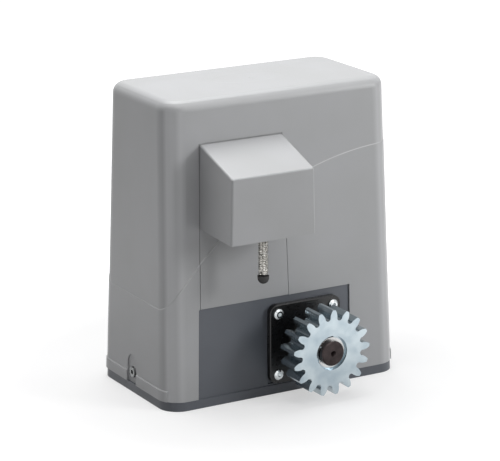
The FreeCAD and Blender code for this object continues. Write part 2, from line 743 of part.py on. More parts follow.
def output_shaft():
    steps = [(shaft_diameter, shaft_end_y, bearing_front_y()),
             (bearing_front[0], bearing_front_y(), bearing_front_y() + bearing_front[2]),
             (30.0, bearing_front_y() + bearing_front[2], wheel_y - wheel_width / 2),
             (wheel_seat, wheel_y - wheel_width / 2, wheel_y + wheel_width / 2 + 4),
             (bearing_rear[0], wheel_y + wheel_width / 2 + 4, case_back + bearing_rear[2])]
    parts = [cylinder_y(d / 2, y1, y2, axis_x, axis_z) for d, y1, y2 in steps]
    shape = fuse(*parts)
    nose = [e for e in shape.Edges if e.BoundBox.YMax < shaft_end_y + 0.01]
    shape = shape.makeChamfer(1.0, nose)
    centre_drill = Part.makeCone(2.6, 0, 4, Vector(axis_x, shaft_end_y, axis_z), Vector(0, 1, 0))
    groove = cylinder_y(shaft_diameter, circlip_back_y() - circlip_thickness - 0.05, circlip_back_y(),
                        axis_x, axis_z)
    groove = groove.cut(cylinder_y(shaft_diameter / 2 - circlip_groove, -base_depth, 0, axis_x, axis_z))
    pinion_key_seat = keyway(shaft_diameter / 2, *pinion_key_ends())
    wheel_key_seat = keyway(wheel_seat / 2, wheel_y - wheel_width / 2, wheel_y + wheel_width / 2)
    rod_bore = cylinder_y(rod_diameter / 2 + running_gap, rod_end() - rod_travel - 1, base_depth, axis_x, axis_z)
    return shape.cut([centre_drill, groove, pinion_key_seat, wheel_key_seat, rod_bore])


def drive_keys():
    return Part.makeCompound([keyway(shaft_diameter / 2, *pinion_key_ends()),
                              keyway(wheel_seat / 2, wheel_y - wheel_width / 2, wheel_y + wheel_width / 2)])


def pinion_circlip():
    """External circlip: a thin open band with a lug at each end, round nine o'clock."""
    inner = shaft_diameter / 2 - circlip_groove + 0.05
    outer = inner + circlip_radial
    y1, y2 = circlip_back_y() - circlip_thickness, circlip_back_y() - 0.05
    band = cylinder_y(outer, y1, y2, axis_x, axis_z).cut(cylinder_y(inner, y1 - 1, y2 + 1, axis_x, axis_z))
    reach = 2 * outer
    rise = reach * math.tan(math.radians(circlip_opening))
    gap = prism_y([(axis_x, axis_z), (axis_x - reach, axis_z + rise), (axis_x - reach, axis_z - rise)],
                  y1 - 1, y2 + 1)
    band = band.cut(gap)
    lug = circlip_radial / 2
    holes = []
    for side in (-1, 1):
        angle = math.radians(circlip_opening)
        middle = inner + lug
        x, z = axis_x - middle * math.cos(angle), axis_z + side * middle * math.sin(angle)
        band = band.fuse(cylinder_y(lug, y1, y2, x, z))
        holes.append(cylinder_y(lug / 2, y1 - 1, y2 + 1, x, z))
    return band.cut(holes).removeSplitter()


def worm_wheel():
    lead = math.degrees(math.atan(worm_module / (2 * worm_pitch_radius)))
    twist = math.degrees(wheel_width * math.tan(math.radians(lead)) / (worm_module * wheel_teeth / 2))
    blank = involute_gear(worm_module, wheel_teeth, wheel_width, tooth_clearance, wheel_phase, -twist)
    blank.rotate(Vector(0, 0, 0), Vector(1, 0, 0), 90)
    blank.translate(Vector(axis_x, wheel_y + wheel_width / 2, axis_z))
    bore = cylinder_y(wheel_seat / 2 + running_gap / 2, -base_depth, base_depth, axis_x, axis_z)
    dishes = []
    for y1, y2 in ((wheel_y - wheel_width / 2 - 1, wheel_y - wheel_width / 2 + 4),
                   (wheel_y + wheel_width / 2 - 4, wheel_y + wheel_width / 2 + 1)):
        dishes.append(cylinder_y(27, y1, y2, axis_x, axis_z).cut(cylinder_y(19, y1, y2, axis_x, axis_z)))
    return blank.cut([bore, keyway(wheel_seat / 2, -base_depth, base_depth, 0.05)] + dishes)


def wheel_retaining_ring():
    inner = wheel_seat / 2 - 0.7
    y1 = wheel_y + wheel_width / 2 + 0.1
    band = cylinder_y(wheel_seat / 2 + 3, y1, y1 + 1.4, axis_x, axis_z).cut(
        cylinder_y(inner + 0.75, y1 - 1, y1 + 3, axis_x, axis_z))
    return band


# ================================================================ motor
def motor_x():
    return axis_x - worm_centre_distance


def turned(steps, x, y):
    """Solid of revolution round a vertical axis from (diameter, z1, z2) steps."""
    return fuse(*[cylinder_z(d / 2, z1, z2, x, y) for d, z1, z2 in steps])


def worm_shaft():
    top = case_roof + motor_foot + motor_body + bearing_upper[2]
    core_foot = core_z()
    root = worm_pitch_radius - 1.2 * worm_module
    steps = [(bearing_foot[0], foot_height + 2.5, foot_height + bearing_foot[2] + 2),
             (2 * root - 2, foot_height + bearing_foot[2] + 2, axis_z - worm_length / 2),
             (2 * root, axis_z - worm_length / 2, axis_z + worm_length / 2),
             (bearing_motor[0] - 1, axis_z + worm_length / 2, motor_bearing_z()),
             (bearing_motor[0], motor_bearing_z(), motor_bearing_z() + bearing_motor[2]),
             (17.0, motor_bearing_z() + bearing_motor[2], core_foot + core_height + 2),
             (12.0, core_foot + core_height + 2, top)]
    return fuse(turned(steps, motor_x(), wheel_y), worm_thread())


def worm_thread():
    lead = math.pi * worm_module
    root = worm_pitch_radius - 1.2 * worm_module
    tip = worm_pitch_radius + worm_module
    slope = math.tan(math.radians(pressure_angle))
    at_pitch = lead / 4 - tooth_clearance / 2
    half_tip = at_pitch - worm_module * slope
    half_root = at_pitch + (worm_pitch_radius - root + 0.3) * slope
    turns_length = worm_length - lead
    start = axis_z - turns_length / 2
    helix = Part.makeHelix(lead, turns_length, root)
    helix.translate(Vector(0, 0, start))
    corners = [(root - 0.3, -half_root), (tip, -half_tip), (tip, half_tip), (root - 0.3, half_root)]
    outline = Part.makePolygon([Vector(r, 0, start + dz) for r, dz in corners + corners[:1]])
    thread = Part.Wire(helix.Edges).makePipeShell([outline], True, True)
    # crest of the thread faces the wheel, on +X, at the height of the output axis
    turn = 360.0 * ((axis_z - start) / lead % 1.0)
    thread.rotate(Vector(0, 0, 0), Vector(0, 0, 1), -turn)
    thread.translate(Vector(motor_x(), wheel_y, 0))
    return thread


def motor_bearing_z():
    return case_roof - case_wall + 0.5


def core_z():
    return case_roof + motor_foot + (motor_body - core_height) / 2


def rotor_core():
    return placed(ring(17.0, core_bore - 2 * air_gap, core_height), (motor_x(), wheel_y, core_z()), (0, 0, 1))


def motor_lower_shield():
    z1 = case_roof
    disc = cylinder_z(motor_radius, z1, z1 + motor_foot, motor_x(), wheel_y)
    cuts = [cylinder_z(motor_radius - 5, z1 + 5, z1 + motor_foot + 1, motor_x(), wheel_y),
            cylinder_z(bearing_motor[1] / 2 + 0.3, z1 - 1, z1 + 7, motor_x(), wheel_y)]
    cuts += bolt_holes(2.2, z1 - 1, z1 + motor_foot + 1)
    return disc.cut(cuts)


def motor_shell_tube():
    z1 = case_roof + motor_foot
    return placed(ring(2 * (motor_radius - motor_shell), 2 * motor_radius, motor_body),
                  (motor_x(), wheel_y, z1), (0, 0, 1))


def stator_core():
    core = placed(ring(core_bore, 2 * (motor_radius - motor_shell), core_height),
                  (motor_x(), wheel_y, core_z()), (0, 0, 1))
    return core.cut(bolt_holes(2.2, 0, total_height))


def stator_windings():
    coils = []
    for z in (core_z() - winding_height, core_z() + core_height):
        coils.append(placed(ring(core_bore + 8, 2 * motor_radius - 24, winding_height),
                            (motor_x(), wheel_y, z), (0, 0, 1)))
    return Part.makeCompound(coils)


def motor_upper_shield():
    z1 = case_roof + motor_foot + motor_body
    disc = cylinder_z(motor_radius, z1, z1 + motor_cap, motor_x(), wheel_y)
    rim = [e for e in disc.Edges if e.BoundBox.ZMin > z1 + motor_cap - 0.01]
    disc = disc.makeChamfer(4, rim)
    cuts = [cylinder_z(bearing_upper[1] / 2, z1 - 1, z1 + bearing_upper[2], motor_x(), wheel_y)]
    cuts += bolt_holes(2.2, z1 - 1, z1 + motor_cap + 1)
    return disc.cut(cuts)


def rotor_bearings():
    lower = bearing(bearing_foot, (motor_x(), wheel_y, foot_height + 2), (0, 0, 1))
    middle = bearing(bearing_motor, (motor_x(), wheel_y, motor_bearing_z()), (0, 0, 1))
    upper = bearing(bearing_upper, (motor_x(), wheel_y, case_roof + motor_foot + motor_body), (0, 0, 1))
    return Part.makeCompound([lower, middle, upper])


def capacitor():
    body = cylinder_z(capacitor_diameter / 2, case_roof + 2, case_roof + 2 + capacitor_height,
                      capacitor_x, capacitor_y)
    rim = [e for e in body.Edges if e.BoundBox.ZMin > case_roof + 1 + capacitor_height]
    body = body.makeChamfer(1.5, rim)
    tabs = [box(capacitor_x + dx - 0.4, capacitor_x + dx + 0.4, capacitor_y - 3, capacitor_y + 3,
                case_roof + 1 + capacitor_height, case_roof + 12 + capacitor_height) for dx in (-7, 7)]
    return fuse(body, *tabs)


def capacitor_clamp():
    strap = placed(ring(capacitor_diameter + 0.2, capacitor_diameter + 3.2, 14),
                   (capacitor_x, capacitor_y, case_roof + 12), (0, 0, 1))
    foot_y = capacitor_y + capacitor_diameter / 2
    leg = box(capacitor_x - 7, capacitor_x + 7, foot_y + 0.2, foot_y + 1.7, case_roof, case_roof + 20)
    toe = box(capacitor_x - 7, capacitor_x + 7, foot_y + 0.2, foot_y + 14, case_roof, case_roof + 1.5)
    floor = placed(ring(2, capacitor_diameter - 6, 2), (capacitor_x, capacitor_y, case_roof), (0, 0, 1))
    return Part.makeCompound([fuse(strap, leg, toe), floor])


# ================================================================ electrical parts
board_x1 = axis_x - worm_centre_distance + motor_radius + beside_motor
board_x2 = half_width(board_z2) - cover_wall - board_side_room
capacitor_x = board_x1 + capacitor_diameter / 2


def board_carrier():
    """Moulded back plate with a rim, four pillars for the board and a foot on the gear case."""
    y1 = board_y + board_thickness + 6
    plate = box(board_x1 - 3, board_x2 + 3, y1, y1 + 3, board_z1 - 3, board_z2 + 3)
    foot = box(board_x1 - 3, case_right, y1 - 10, y1 + 3 - 5.6, case_roof, case_roof + 4)
    leg = box(board_x1 - 3, case_right, y1 - 4, y1 + 3, case_roof, board_z1)
    pillars = [cylinder_y(3.5, board_y + board_thickness, y1 + 1, x, z)
               for x in (board_x1 + 5, board_x2 - 5) for z in (board_z1 + 5, board_z2 - 5)]
    return fuse(plate, foot, leg, *pillars)


def control_board():
    board = box(board_x1, board_x2, board_y, board_y + board_thickness, board_z1, board_z2)
    return board


def relays():
    width, depth, height = relay_size
    foot = board_z2 - 47
    return Part.makeCompound([box(x - width, x, board_y - depth, board_y, foot, foot + height)
                              for x in (board_x2 - 2, board_x2 - width - 4)])


def terminal_blocks():
    """Two rows of screw terminals along the board's lower edge and left edge."""
    blocks = []
    pitch, count, z = terminal_pitch, 6, board_z1 + 3
    for x in (board_x1 + 4, board_x2 - 4 - pitch * count):
        body = box(x, x + pitch * count, board_y - 10, board_y, z, z + 12)
        mouths = [box(x + pitch * k + 1, x + pitch * k + 4, board_y - 8, board_y - 3, z - 1, z + 4)
                  for k in range(count)]
        blocks.append(body.cut(mouths))
    return Part.makeCompound(blocks)


def transformer():
    """Laminated core with its bobbin, standing on the floor beside the gear case."""
    x1, x2 = case_right + 5, case_right + 41
    middle_y = -18.0
    core = box(x1, x2, middle_y - 8, middle_y + 8, foot_height, foot_height + 32)
    coil = box(x1 + 4, x2 - 6, middle_y - 17, middle_y + 17, foot_height + 5, foot_height + 27)
    return fuse(core, coil)


# ================================================================ limit switch
def limit_bush():
    face = -half_depth(lever_z)
    y1, y2 = face - 3, face + cover_wall + 3.5
    body = cylinder_y(pivot_diameter / 2 + 3, y1, y2, lever_x, lever_z)
    collar = cylinder_y(pivot_diameter / 2 + 5, face + cover_wall + 0.5, y2, lever_x, lever_z)
    return fuse(body, collar).cut(cylinder_y(pivot_diameter / 2 + running_gap, -base_depth, 0, lever_x, lever_z))


def limit_pivot():
    y1 = lever_y + holder_diameter / 2 - 1
    y2 = cam_y() + cam_width()
    shaft = cylinder_y(pivot_diameter / 2, y1, y2, lever_x, lever_z)
    return shaft


def cam_y():
    return switch_back_y() - switch_size[1] - 1


def cam_width():
    return switch_size[1] - 2


def limit_cam():
    """Cam on the pivot's inner end: a round boss with a nose that hangs between the two buttons."""
    y1, y2 = cam_y() + 1, cam_y() + cam_width()
    boss = cylinder_y(pivot_diameter / 2 + 2.5, y1, y2, lever_x, lever_z)
    nose = cylinder_y(cam_nose, y1, y2, lever_x, lever_z - cam_radius)
    web = box(lever_x - cam_nose, lever_x + cam_nose, y1, y2, lever_z - cam_radius, lever_z)
    return fuse(boss, nose, web).cut(cylinder_y(pivot_diameter / 2, y1 - 1, y2 + 1, lever_x, lever_z))


def spring_holder():
    """Turned socket on the pivot's outer end that grips the spring's upper turns."""
    body = cylinder_z(holder_diameter / 2, holder_foot, lever_z + 7, lever_x, lever_y)
    rim = [e for e in body.Edges if e.BoundBox.ZMin > lever_z + 6.9]
    body = body.makeChamfer(1.5, rim)
    socket = cylinder_z(spring_outside / 2 + 0.05, holder_foot - 1, holder_foot + 12, lever_x, lever_y)
    shaft_hole = cylinder_y(pivot_diameter / 2, lever_y + holder_diameter / 2 - 1, 0, lever_x, lever_z)
    return body.cut([socket, shaft_hole])


def limit_spring():
    outer = cylinder_z(spring_outside / 2, spring_foot, holder_foot + 11.5, lever_x, lever_y)
    return outer.cut(cylinder_z(spring_outside / 2 - spring_wire, spring_foot, holder_foot + 11.5,
                                lever_x, lever_y))


def spring_tip():
    """Black rubber cap: a short skirt over a round end, with a stem in the spring."""
    skirt_foot = spring_foot - 2.2
    skirt = cylinder_z(tip_radius, skirt_foot, spring_foot, lever_x, lever_y)
    dome = Part.makeSphere(tip_radius, Vector(lever_x, lever_y, skirt_foot))
    dome = dome.common(cylinder_z(tip_radius + 1, skirt_foot - tip_radius, skirt_foot, lever_x, lever_y))
    stem = cylinder_z(spring_outside / 2 - spring_wire - 0.05, spring_foot - 1, spring_foot + 10, lever_x, lever_y)
    return fuse(skirt, dome, stem)


def button_reach():
    """Distance from the pivot's plane to the tip of a button that is out."""
    swing = math.radians(cam_swing)
    return cam_radius * math.sin(swing) + cam_nose + contact_gap


def button_height():
    return lever_z - cam_radius * math.cos(math.radians(cam_swing))


def limit_switches():
    bodies = []
    for side in (-1, 1):
        near = button_reach() + 2.2
        x1, x2 = sorted((lever_x + side * near, lever_x + side * (near + switch_size[0])))
        z1 = button_height() - switch_size[2] / 2
        y1 = switch_back_y() - switch_size[1]
        body = box(x1, x2, y1, switch_back_y(), z1, z1 + switch_size[2])
        well_x = sorted((lever_x + side * (near - 1), lever_x + side * (near + 5)))
        well = cylinder_x(1.5 + running_gap, well_x[0], well_x[1], switch_back_y() - switch_size[1] / 2,
                          button_height())
        legs = [box(*sorted((lever_x + side * (near + switch_size[0] - 1),
                             lever_x + side * (near + switch_size[0] + 3))),
                    y1 + 3, switch_back_y() - 3, z1 + dz, z1 + dz + 0.8) for dz in (4.0, 13.5, 23.0)]
        bodies.append(fuse(body.cut(well), *legs))
    return Part.makeCompound(bodies)


def switch_button(side):
    tip = lever_x + side * button_reach()
    tail = lever_x + side * (button_reach() + 2.2 + 5 - button_travel - 0.4)
    x1, x2 = sorted((tip, tail))
    return cylinder_x(1.5, x1, x2, switch_back_y() - switch_size[1] / 2, button_height())


def switch_plate():
    """Steel plate that carries the two switches, screwed to the panel's four posts."""
    y1 = switch_back_y()
    plate = box(hood_x - post_spread - post_radius, hood_x + post_spread + post_radius, y1, y1 + 2,
                lever_z + post_low - post_radius, lever_z + post_high + post_radius)
    hole = cylinder_y(pivot_diameter / 2 + 1, y1 - 1, y1 + 3, lever_x, lever_z)
    return plate.cut(hole)


# ================================================================ release on the back
def rod_end():
    """Inner end of the release rod, inside the shaft's bore."""
    return case_back + bearing_rear[2] - rod_overlap


def release_rod():
    rod = cylinder_y(rod_diameter / 2, rod_end(), knob_flange_y - 0.3, axis_x, axis_z)
    collar = cylinder_y(rod_diameter / 2 + 3, knob_flange_y - 3.3, knob_flange_y - 0.3, axis_x, axis_z)
    return fuse(rod, collar)


def release_knob():
    """Round knob in the back face, held by a flange behind the wall, with a grip bar across it."""
    wall_y = half_depth(axis_z + knob_radius) - face_recess - face_wall
    flange = cylinder_y(knob_flange_radius, knob_flange_y, knob_flange_y + 3, axis_x, axis_z)
    face = wall_y - 1
    disc = cylinder_y(knob_radius, knob_flange_y, face, axis_x, axis_z)
    bar_end = half_depth(axis_z + knob_radius)
    bar = box(axis_x - grip_length / 2, axis_x + grip_length / 2, face - 1, bar_end,
              axis_z - grip_width / 2, axis_z + grip_width / 2)
    hub = cylinder_y(lock_radius + 3, face - 1, bar_end, axis_x, axis_z)
    lock_hole = cylinder_y(lock_radius + running_gap, knob_flange_y + 3, base_depth, axis_x, axis_z)
    return fuse(flange, disc, bar, hub).cut(lock_hole)


def key_cylinder():
    """Lock cylinder in the knob's middle, with its key slot."""
    end = half_depth(axis_z + knob_radius) - 0.5
    body = cylinder_y(lock_radius, knob_flange_y + 3.2, end, axis_x, axis_z)
    slot = box(axis_x - 0.8, axis_x + 0.8, end - 5, end + 1, axis_z - 3.5, axis_z + 3.5)
    return body.cut(slot)


def levelling_screws():
    """Socket set screws in the four corners, flush with the foot's underside."""
    body = Part.makeCylinder(leveller_diameter / 2, leveller_length)
    body = body.cut(hexagon(3, leveller_length - 5, 6))
    return Part.makeCompound([placed(body, (sx * leveller_x, sy * leveller_y, 0.5), (0, 0, 1))
                              for sx in (-1, 1) for sy in (-1, 1)])


def motor_bolt_set():
    """Four long bolts that hold the two end shields to the gear case's roof."""
    length = motor_foot + motor_body + motor_cap + case_wall - 1
    bolt = hex_bolt(4.0, length)
    top = case_roof + motor_foot + motor_body + motor_cap
    return Part.makeCompound([placed(bolt, (x, y, top), (0, 0, 1)) for x, y in motor_bolt_places()])


def bolt_holes(radius, z1, z2):
    return [cylinder_z(radius, z1, z2, x, y) for x, y in motor_bolt_places()]


def motor_bolt_places():
    reach = motor_radius - motor_shell - 4.0
    return [(motor_x() + reach * math.cos(math.radians(a)), wheel_y + reach * math.sin(math.radians(a)))
            for a in (45, 135, 225, 315)]


def sub_assembly():
    nodes = {}
    nodes["top_cover"] = top_cover()
    nodes["limit_hood"] = limit_hood()
    nodes["base_casting"] = base_casting()
    nodes["cable_grommet"] = cable_grommet()
    nodes["bearing_flange"] = bearing_flange()
    nodes["flange_screws"] = flange_screws()
    nodes["shaft_seal"] = shaft_seal()
    nodes["output_bearing_front"] = bearing(bearing_front, (axis_x, bearing_front_y(), axis_z), (0, 1, 0))
    nodes["output_bearing_rear"] = bearing(bearing_rear, (axis_x, case_back, axis_z), (0, 1, 0))
    nodes["gearbox_rear_cover"] = gearbox_rear_cover()
    nodes["rear_cover_screws"] = rear_cover_screws()
    nodes["output_shaft"] = output_shaft()
    nodes["drive_pinion"] = drive_pinion()
    nodes["drive_keys"] = drive_keys()
    nodes["pinion_circlip"] = pinion_circlip()
    nodes["worm_wheel"] = worm_wheel()
    nodes["wheel_retaining_ring"] = wheel_retaining_ring()
    nodes["worm_shaft"] = worm_shaft()
    nodes["rotor_core"] = rotor_core()
    nodes["rotor_bearings"] = rotor_bearings()
    nodes["motor_lower_shield"] = motor_lower_shield()
    nodes["motor_shell"] = motor_shell_tube()
    nodes["stator_core"] = stator_core()
    nodes["stator_windings"] = stator_windings()
    nodes["motor_upper_shield"] = motor_upper_shield()
    nodes["capacitor"] = capacitor()
    nodes["capacitor_clamp"] = capacitor_clamp()
    nodes["board_carrier"] = board_carrier()
    nodes["control_board"] = control_board()
    nodes["relays"] = relays()
    nodes["terminal_blocks"] = terminal_blocks()
    nodes["transformer"] = transformer()
    nodes["limit_bush"] = limit_bush()
    nodes["limit_pivot"] = limit_pivot()
    nodes["limit_cam"] = limit_cam()
    nodes["spring_holder"] = spring_holder()
    nodes["limit_spring"] = limit_spring()
    nodes["spring_tip"] = spring_tip()
    nodes["limit_switches"] = limit_switches()
    nodes["left_switch_button"] = switch_button(-1)
    nodes["right_switch_button"] = switch_button(1)
    nodes["switch_plate"] = switch_plate()
    nodes["hood_screws"] = hood_screws()
    nodes["cover_screws"] = cover_screws()
    nodes["cover_screw_nuts"] = cover_screw_nuts()
    nodes["levelling_screws"] = levelling_screws()
    nodes["release_rod"] = release_rod()
    nodes["release_knob"] = release_knob()
    nodes["key_cylinder"] = key_cylinder()
    nodes["motor_bolts"] = motor_bolt_set()
    return nodes


os.makedirs("parts", exist_ok=True)
for name, shape in sub_assembly().items():
    shape.exportStep("parts/" + name + ".step")
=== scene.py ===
"""Looks of a sliding gate motor: a grey moulded cover with a limit hood, a dark cast base and a
zinc plated pinion on a black flange. Metres, +Z up; the pinion faces -Y."""

import math

import bpy
from mathutils import Matrix, Vector


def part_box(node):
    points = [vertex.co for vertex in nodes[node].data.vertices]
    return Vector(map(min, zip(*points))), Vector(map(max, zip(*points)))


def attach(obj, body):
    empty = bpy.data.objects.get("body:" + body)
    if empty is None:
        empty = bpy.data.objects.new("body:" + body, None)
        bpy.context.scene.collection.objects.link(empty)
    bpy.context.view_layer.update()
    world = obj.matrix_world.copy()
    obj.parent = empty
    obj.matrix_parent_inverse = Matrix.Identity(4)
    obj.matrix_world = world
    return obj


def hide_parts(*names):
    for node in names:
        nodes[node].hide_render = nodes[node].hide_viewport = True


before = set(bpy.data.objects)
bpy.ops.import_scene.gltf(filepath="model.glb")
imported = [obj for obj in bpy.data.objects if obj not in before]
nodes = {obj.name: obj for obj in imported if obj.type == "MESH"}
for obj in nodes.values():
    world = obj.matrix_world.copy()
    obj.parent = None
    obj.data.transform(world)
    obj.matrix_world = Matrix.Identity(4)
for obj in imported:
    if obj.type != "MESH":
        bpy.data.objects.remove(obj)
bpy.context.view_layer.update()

MM = 0.001


def corners(node):
    """The lowest and the highest corner of a node's box at rest."""
    return [Vector(corner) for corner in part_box(node)]


# Sockets of a colour Mix node, which has others for numbers and vectors.
SHARE, FIRST, SECOND, MIXED = 0, 6, 7, 2


# ---------------------------------------------------------------- how a finish is made
def colour(code):
    """An sRGB hex value as linear colour."""
    parts = [int(code[i:i + 2], 16) / 255 for i in (1, 3, 5)]
    linear = [c / 12.92 if c <= 0.04045 else ((c + 0.055) / 1.055) ** 2.4 for c in parts]
    return (*linear, 1.0)


def start(name, base, settings):
    """A named material and its shader's sockets, with the plain settings made."""
    material = bpy.data.materials.new(name)
    material.use_nodes = True
    material.diffuse_color = colour(base)
    shader = material.node_tree.nodes["Principled BSDF"].inputs
    shader["Base Color"].default_value = colour(base)
    for socket, value in settings.items():
        shader[socket].default_value = value
    return material, shader


def add(material, kind, settings, links=None, to=None):
    """One node: its settings, what feeds it, and the sockets that its outputs go to."""
    node = material.node_tree.nodes.new(kind)
    for key, value in settings.items():
        if isinstance(key, str) and key not in node.inputs:
            setattr(node, key, value)
        else:
            node.inputs[key].default_value = value
    for key, socket in (links or {}).items():
        material.node_tree.links.new(socket, node.inputs[key])
    for output, socket in (to or {}).items():
        material.node_tree.links.new(node.outputs[output], socket)
    return node.outputs


def clouded(material, shader, where, tones, cloud_mm, detail):
    """Slow changes between two tones of the base colour."""
    cloud = add(material, "ShaderNodeTexNoise", {"Scale": 1 / (cloud_mm * MM), "Detail": detail},
                {"Vector": where})["Fac"]
    share = add(material, "ShaderNodeMapRange", {"From Min": 0.35, "From Max": 0.65},
                {"Value": cloud})["Result"]
    add(material, "ShaderNodeMix",
        {"data_type": "RGBA", FIRST: colour(tones[0]), SECOND: colour(tones[1])},
        {SHARE: share}, {MIXED: shader["Base Color"]})
    return cloud


def moulded(name, tones, settings, cloud_mm, grain_mm, grain_depth_mm):
    """Injection moulded or coated skin: an even grain, which also varies the gloss."""
    material, shader = start(name, tones[1], settings)
    where = add(material, "ShaderNodeTexCoord", {})["Object"]
    clouded(material, shader, where, tones, cloud_mm, detail=2.0)
    grain = add(material, "ShaderNodeTexNoise", {"Scale": 1 / (grain_mm * MM), "Detail": 2.0},
                {"Vector": where})["Fac"]
    rough = settings["Roughness"]
    add(material, "ShaderNodeMapRange",
        {"From Min": 0.3, "From Max": 0.7, "To Min": rough - 0.04, "To Max": rough + 0.05},
        {"Value": grain}, {"Result": shader["Roughness"]})
    add(material, "ShaderNodeBump", {"Strength": 0.5, "Distance": grain_depth_mm * MM},
        {"Height": grain}, {"Normal": shader["Normal"]})
    return material


def worked(name, tones, settings, cloud_mm, grain_mm, grain_depth_mm):
    """Bare, plated or blackened metal: clouds of tone and gloss over the marks of its making."""
    material, shader = start(name, tones[1], {"Metallic": 1.0, **settings})
    where = add(material, "ShaderNodeTexCoord", {})["Object"]
    cloud = clouded(material, shader, where, tones, cloud_mm, detail=3.0)
    rough = settings["Roughness"]
    add(material, "ShaderNodeMapRange",
        {"From Min": 0.3, "From Max": 0.7, "To Min": rough - 0.05, "To Max": rough + 0.07},
        {"Value": cloud}, {"Result": shader["Roughness"]})
    grain = add(material, "ShaderNodeTexNoise", {"Scale": 1 / (grain_mm * MM), "Detail": 3.0},
                {"Vector": where})["Fac"]
    add(material, "ShaderNodeBump", {"Strength": 0.4, "Distance": grain_depth_mm * MM},
        {"Height": grain}, {"Normal": shader["Normal"]})
    return material


# ---------------------------------------------------------------- the cover's and hood's skin
# Lengths here are in millimetres. The flush faces end at one depth from the middle, and from
# the next one on it is the hood that stands out.
FACE_END, HOOD_START = 65.6, 66.2

# The painted highlight line, which stands in for the light caught by the styling step's upward
# ledge, lies on an arc in the X-Z plane, and fades out before the upright corners.
ARC_CENTRE_X, ARC_CENTRE_Z, ARC_RADIUS = 114.6, -65.8, 275.3
LINE_CORE, LINE_EDGE = 0.25, 0.60
LINE_FADES, LINE_ENDS = 96, 108

# How strong the painted highlight on the round of a corner is, from its side end (0) to its face
# end (1).
CORNER_HIGHLIGHT = ((0.26, 0.0), (0.40, 0.9), (0.52, 0.8), (0.66, 0.3), (0.82, 0.45), (0.98, 0.0))

# The shallow lens in the top, whose rim starts at a share of its half sizes, and the scar in it.
LENS_X, LENS_Y, LENS_HALF_LENGTH, LENS_HALF_WIDTH = 0.5, 2, 34.5, 17
LENS_RIM, LENS_DEPTH = 0.93, 0.12
GATE_X, GATE_Y, GATE_RADIUS, GATE_FOOT_RADIUS, GATE_HEIGHT = 3, -1, 1.5, 2.6, 0.45
TOP_STARTS, TOP_FULL = 264, 265


def painted_ledge_highlight(skin, place, apart, on_face):
    """A painted highlight line 0.9 mm wide along the styling step's corner, where its upward ledge
    would catch the light.
    """
    across = add(skin, "ShaderNodeMath", {"operation": "SUBTRACT", 1: ARC_CENTRE_X * MM},
                 {0: place["X"]})["Value"]
    above = add(skin, "ShaderNodeMath", {"operation": "SUBTRACT", 1: ARC_CENTRE_Z * MM},
                {0: place["Z"]})["Value"]
    from_centre = add(skin, "ShaderNodeCombineXYZ", {}, {"X": across, "Y": above})["Vector"]
    radius = add(skin, "ShaderNodeVectorMath", {"operation": "LENGTH"}, {0: from_centre})["Value"]
    off_line = add(skin, "ShaderNodeMath", {"operation": "SUBTRACT", 1: ARC_RADIUS * MM},
                   {0: radius})["Value"]
    off_line = add(skin, "ShaderNodeMath", {"operation": "ABSOLUTE"}, {0: off_line})["Value"]
    share = add(skin, "ShaderNodeMapRange",
                {"interpolation_type": "SMOOTHSTEP", "From Min": LINE_CORE * MM,
                 "From Max": LINE_EDGE * MM, "To Min": 1.0, "To Max": 0.0},
                {"Value": off_line})["Result"]
    off_corner = add(skin, "ShaderNodeMapRange",
                     {"From Min": LINE_FADES * MM, "From Max": LINE_ENDS * MM,
                      "To Min": 1.0, "To Max": 0.0}, {"Value": apart["X"]})["Result"]
    for factor in (on_face, off_corner):
        share = add(skin, "ShaderNodeMath", {"operation": "MULTIPLY"},
                    {0: share, 1: factor})["Value"]
    return share


def painted_corner_highlights(skin, on_face):
    """Painted highlights on the rounds of the upright corners, strongest along the crown of the
    round.
    """
    facing = add(skin, "ShaderNodeTexCoord", {})["Normal"]
    up = add(skin, "ShaderNodeSeparateXYZ", {}, {"Vector": facing})["Z"]
    along = add(skin, "ShaderNodeVectorMath", {"operation": "ABSOLUTE"}, {0: facing})["Vector"]
    along = add(skin, "ShaderNodeSeparateXYZ", {}, {"Vector": along})
    turned = add(skin, "ShaderNodeMath", {"operation": "ARCTAN2"},
                 {0: along["Y"], 1: along["X"]})["Value"]
    turned = add(skin, "ShaderNodeMapRange", {"From Max": math.pi / 2}, {"Value": turned})["Result"]
    ramp = skin.node_tree.nodes.new("ShaderNodeValToRGB")
    skin.node_tree.links.new(turned, ramp.inputs["Fac"])
    for stop, highlight_share in CORNER_HIGHLIGHT:
        ramp.color_ramp.elements.new(stop).color = (highlight_share, highlight_share, highlight_share, 1)
    for end in (ramp.color_ramp.elements[0], ramp.color_ramp.elements[-1]):
        end.color = (0, 0, 0, 1)
    share = ramp.outputs["Color"]
    upright = add(skin, "ShaderNodeMapRange",
                  {"From Min": 0.05, "From Max": 0.35, "To Min": 1.0, "To Max": 0.0},
                  {"Value": up})["Result"]
    for factor in (upright, on_face):
        share = add(skin, "ShaderNodeMath", {"operation": "MULTIPLY"},
                    {0: share, 1: factor})["Value"]
    return share


